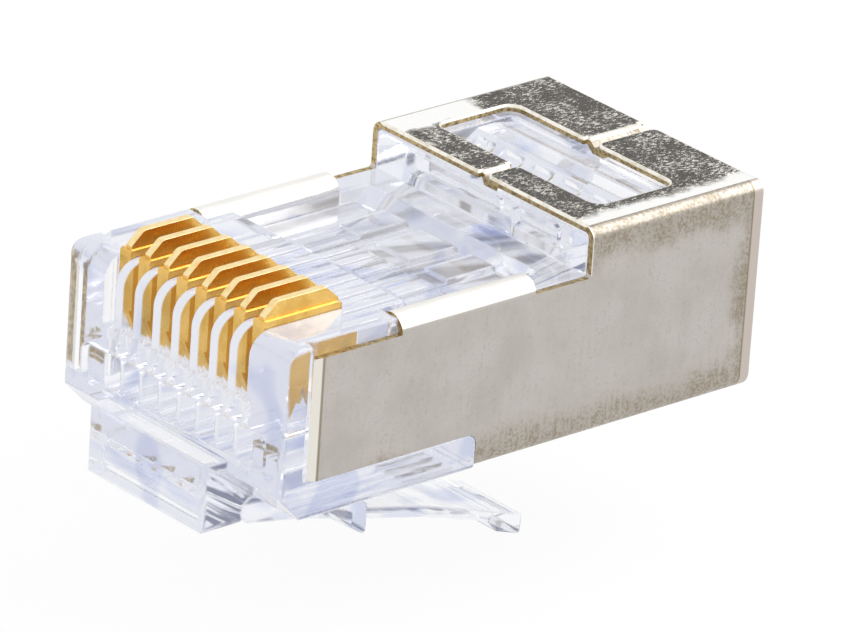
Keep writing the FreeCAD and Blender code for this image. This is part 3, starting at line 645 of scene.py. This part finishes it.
# %% Shield: a copy with its five finishes
shield = welded_copy("shield", "nickel_shield")
for finish in (satin_nickel, cut_brass_edge, burnished_corner_painted_highlight, crinkled_nickel_painted_reflection, inner_nickel_painted_light):
    shield.data.materials.append(finish())
CUT, CORNER, TOP, INSIDE = 1, 2, 3, 4  # the outside keeps finish 0
longest_cut = 8 * MM
curl_reach = 6.3 * MM


def is_cut(face):
    """True where a face is the cut edge of the sheet."""
    along = abs(face.normal.y) > 0.95
    in_window = (face.center.z > shield_high.z - 1.2 * sheet and abs(face.normal.z) < 0.3
                 and abs(face.center.x) < half_width - 3 * sheet)
    narrow = (face.area < longest_cut * 1.2 * sheet and abs(face.normal.z) > 0.9
              and face.center.z < shield_low.z + curl_reach)
    on_wall = shield_low.z + 2 * sheet < face.center.z < shield_high.z - 2 * sheet
    return along or in_window or (narrow and on_wall)


# %% Shield: each face gets its finish
middle_height = (shield_low.z + shield_high.z) / 2
top_height = shield_high.z - 0.01 * MM
counts = [0] * 5
for face in shield.data.polygons:
    inward = (face.center.x * face.normal.x
              + (face.center.z - middle_height) * face.normal.z) < 0
    if face.normal.z > 0.99 and face.center.z > top_height:
        face.material_index = TOP
    elif is_cut(face):
        face.material_index = CUT
    elif inward:
        face.material_index = INSIDE
    counts[face.material_index] += 1
print("faces outside, cut, corner, top, inside:", counts)

# %% [markdown]
# The rim of the top is every sharp edge that lies in the top's own plane: round the
# window, along the seam and at both ends. Sharp edges are selected by their angle,
# and those that lie elsewhere are left out.

# %% Shield: the rim of the top, and the rest of the edges
pick(shield)
bpy.ops.object.mode_set(mode="EDIT")
bpy.ops.mesh.select_mode(type="EDGE")
bpy.ops.mesh.select_all(action="DESELECT")
bpy.ops.mesh.edges_select_sharp(sharpness=math.radians(35))
bpy.ops.object.mode_set(mode="OBJECT")
points = shield.data.vertices
top_rim = [edge.index for edge in shield.data.edges
           if edge.select and all(points[i].co.z > top_height for i in edge.vertices)]
# the rounded rim gets the near-white corner finish, partly a painted highlight
round_rim(shield, top_rim, 0.1 * MM, steps=3, guard=False, finish=CORNER)
round_edges(shield, 0.03 * MM, steps=2)
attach(shield, "plug")
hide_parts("shield")

# %% [markdown]
# ## Gold-plated contacts
#
# Each contact is stamped from thin sheet and plated with gold over nickel. Its
# sides are satin and finely grained, its edges are burnished by the stamping and
# painted paler, partly a painted highlight, and so are its upward faces above the
# foot. A grain cloud does the first, and a wide rounding of the rim with a finish
# of its own does the second.

# %% Finish: plated gold
def plated_gold():
    """Satin gold plating with a fine grain."""
    material, shader = start_material("plated gold")
    place = place_on_piece(material)
    grain = cloud(material, place, 0.07, detail=3.0)
    patches = cloud(material, place, 0.9, detail=2.0)
    colour = blend(material, between(material, patches, 0.3, 0.7),
                   (0.83, 0.54, 0.16, 1), (0.73, 0.43, 0.10, 1))
    colour = blend(material, between(material, grain, 0.5, 0.8, 0, 0.3),
                   colour, (0.55, 0.33, 0.09, 1))
    rough = between(material, patches, 0.3, 0.7, 0.22, 0.32)
    return finish_metal(material, shader, colour, rough, grain, 0.3, 0.01)


# %% Finish: pale gold for the rounded rim of the blades, partly a painted highlight
def burnished_gold_painted_highlight():
    """The pale rim round each blade, burnished by the stamping and painted paler, partly a painted
    highlight.
    """
    material, shader = start_material("burnished gold, painted highlight")
    wear = cloud(material, place_on_piece(material), 0.25, detail=3.0)
    colour = blend(material, between(material, wear, 0.35, 0.75),
                   (0.97, 0.79, 0.44, 1), (0.90, 0.64, 0.25, 1))
    rough = between(material, wear, 0.3, 0.7, 0.24, 0.36)
    return finish_metal(material, shader, colour, rough, wear, 0.2, 0.01)


# %% [markdown]
# The rim of a blade is every edge that stays in one side face of the contact and
# lies above the foot of the blade. One contact is rounded, and the other seven are
# copies of it, each with its own mesh, moved to its slot by the distance between
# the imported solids.

# %% First contact
first = welded_copy("contact_1", "gold_contact_1")
first.data.materials.append(plated_gold())
first.data.materials.append(burnished_gold_painted_highlight())
RIM = 1  # the sides keep finish 0
blade_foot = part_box("contact_1")[1].z - 0.6 * MM


def is_rim(edge):
    """True for an edge that runs round a side of the blade, above its foot."""
    one, other = (first.data.vertices[i].co for i in edge.vertices)
    round_blade = abs(one.x - other.x) < 0.001 * MM
    above_foot = (max(one.z, other.z) > blade_foot + 0.02 * MM
                  and min(one.z, other.z) > blade_foot - 0.05 * MM)
    return round_blade and above_foot


blade_rim = [edge.index for edge in first.data.edges if is_rim(edge)]
round_rim(first, blade_rim, 0.14 * MM, steps=4, guard=True, finish=RIM)
# painted highlight: every face above the foot that looks upwards gets the pale finish too
for face in first.data.polygons:
    if face.normal.z > 0.3 and face.center.z > blade_foot:
        face.material_index = RIM
round_edges(first, 0.04 * MM, steps=2)

# %% All eight contacts
for number in range(1, 9):
    node = f"contact_{number}"
    contact = first
    if number > 1:
        contact = bpy.data.objects.new(f"gold_contact_{number}", first.data.copy())
        bpy.context.scene.collection.objects.link(contact)
        contact.data.transform(Matrix.Translation(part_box(node)[0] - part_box("contact_1")[0]))
    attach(contact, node)
    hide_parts(node)
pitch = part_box("contact_2")[0].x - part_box("contact_1")[0].x
print("contacts, mm apart:", round(pitch / MM, 3))

# %% [markdown]
# ## Floor
#
# The plug is shown on plain white. The floor is a large white sheet just under
# the latch. It glows white for the camera, for reflections and for what is seen
# through the plastic, and stays a little matt, so it keeps a soft shadow.

# %% Floor
floor_side = 6
glow_share = 0.93
bpy.ops.object.select_all(action="DESELECT")
bpy.ops.mesh.primitive_plane_add(size=floor_side, location=(0, 0, cad_low.z - 0.05 * MM))
floor = bpy.context.active_object
floor.name = "floor"
floor_material = bpy.data.materials.new("white floor")
floor_material.use_nodes = True
floor_material.node_tree.nodes.clear()
paths = add(floor_material, "ShaderNodeLightPath")
shown = calculate(floor_material, "MAXIMUM",
                  paths.outputs["Is Camera Ray"], paths.outputs["Is Glossy Ray"])
shown = calculate(floor_material, "MAXIMUM", shown, paths.outputs["Is Transmission Ray"])
share = calculate(floor_material, "MULTIPLY", shown, glow_share)
matt = add(floor_material, "ShaderNodeBsdfDiffuse", {"Color": (0.9, 0.9, 0.9, 1)})
glow = add(floor_material, "ShaderNodeEmission", {"Color": (1, 1, 1, 1), "Strength": 1.0})
floor_mix = add(floor_material, "ShaderNodeMixShader",
                {0: share, 1: matt.outputs[0], 2: glow.outputs[0]})
add(floor_material, "ShaderNodeOutputMaterial", {"Surface": floor_mix.outputs[0]})
floor.data.materials.append(floor_material)
print("floor at", round(floor.location.z / MM, 2), "mm")

# %% [markdown]
# ## Studio
#
# Metal and clear plastic show the room more than themselves. The room here is a
# white tent with two dark blue cards in it, low on the left, and a low dark ring at
# the foot of the tent. Clear plastic in an all-white room has no outline, so they
# are there for the plastic alone: light that has passed through the moulding sees
# them, plain metal doesn't.

# %% World
world = bpy.data.worlds.new("studio")
bpy.context.scene.world = world
world.use_nodes = True
world.node_tree.nodes.clear()
direction = add(world, "ShaderNodeTexCoord").outputs["Generated"]
rise = add(world, "ShaderNodeSeparateXYZ", {"Vector": direction}).outputs["Z"]
card_strength = 0.8


def facing(side):
    """How far a direction points to one side of the room, from -1 to 1."""
    return add(world, "ShaderNodeVectorMath", {0: direction, 1: side},
               operation="DOT_PRODUCT").outputs["Value"]


far_card = calculate(world, "MULTIPLY", between(world, facing((-0.74, 0.67, 0)), 0.45, 0.7),
                     stripe(world, rise, up=(0.1, 0.2), down=(0.5, 0.62)))
left_card = calculate(world, "MULTIPLY", between(world, facing((-0.9, -0.44, 0)), 0.68, 0.8),
                      between(world, rise, 0.5, 0.35))
ring = calculate(world, "MULTIPLY", between(world, rise, 0.17, 0.12), 0.9)
dark = calculate(world, "MAXIMUM", far_card, calculate(world, "MAXIMUM", ring, left_card))

# %% World: who sees the cards, and the tent
paths = add(world, "ShaderNodeLightPath")
through = calculate(world, "GREATER_THAN", paths.outputs["Transmission Depth"], 0.5)
dark = calculate(world, "MULTIPLY", dark,
                 calculate(world, "MULTIPLY", through, card_strength))
tent = blend(world, paths.outputs["Is Diffuse Ray"], (1, 1, 1, 1), (0.85, 0.85, 0.85, 1))
room = blend(world, dark, tent, (0.02, 0.032, 0.14, 1))
background = add(world, "ShaderNodeBackground", {"Color": room, "Strength": 1.0})
add(world, "ShaderNodeOutputWorld", {"Surface": background.outputs[0]})
print("studio: white tent, with dark cards for the clear parts")

# %% [markdown]
# One large soft lamp above and behind on the right does the rest. It makes the
# bends of the shield, the rolled edges and the rounded tops of the contacts shine;
# on the rolled edges and the contacts' tops the shine is painted into the colour too.

# %% Lamp
def soft_lamp(name, toward, away_by, size, power):
    """A square soft lamp that faces the plug from a direction."""
    data = bpy.data.lights.new(name, "AREA")
    data.size = size
    data.energy = power
    lamp = bpy.data.objects.new(name, data)
    bpy.context.scene.collection.objects.link(lamp)
    away = Vector(toward).normalized()
    lamp.location = look_at + away * away_by
    lamp.rotation_euler = away.to_track_quat("Z", "Y").to_euler()
    print(name, "lamp at", [round(v, 3) for v in lamp.location])


soft_lamp("key", toward=(0.42, 0.6, 0.70), away_by=0.5, size=0.5, power=1.9)

# %% [markdown]
# ## Last look
#
# Colours go to the picture as they are. The dressed plug may not outgrow its
# frame.

# %% Colours, and the end
bpy.context.scene.view_settings.view_transform = "Standard"
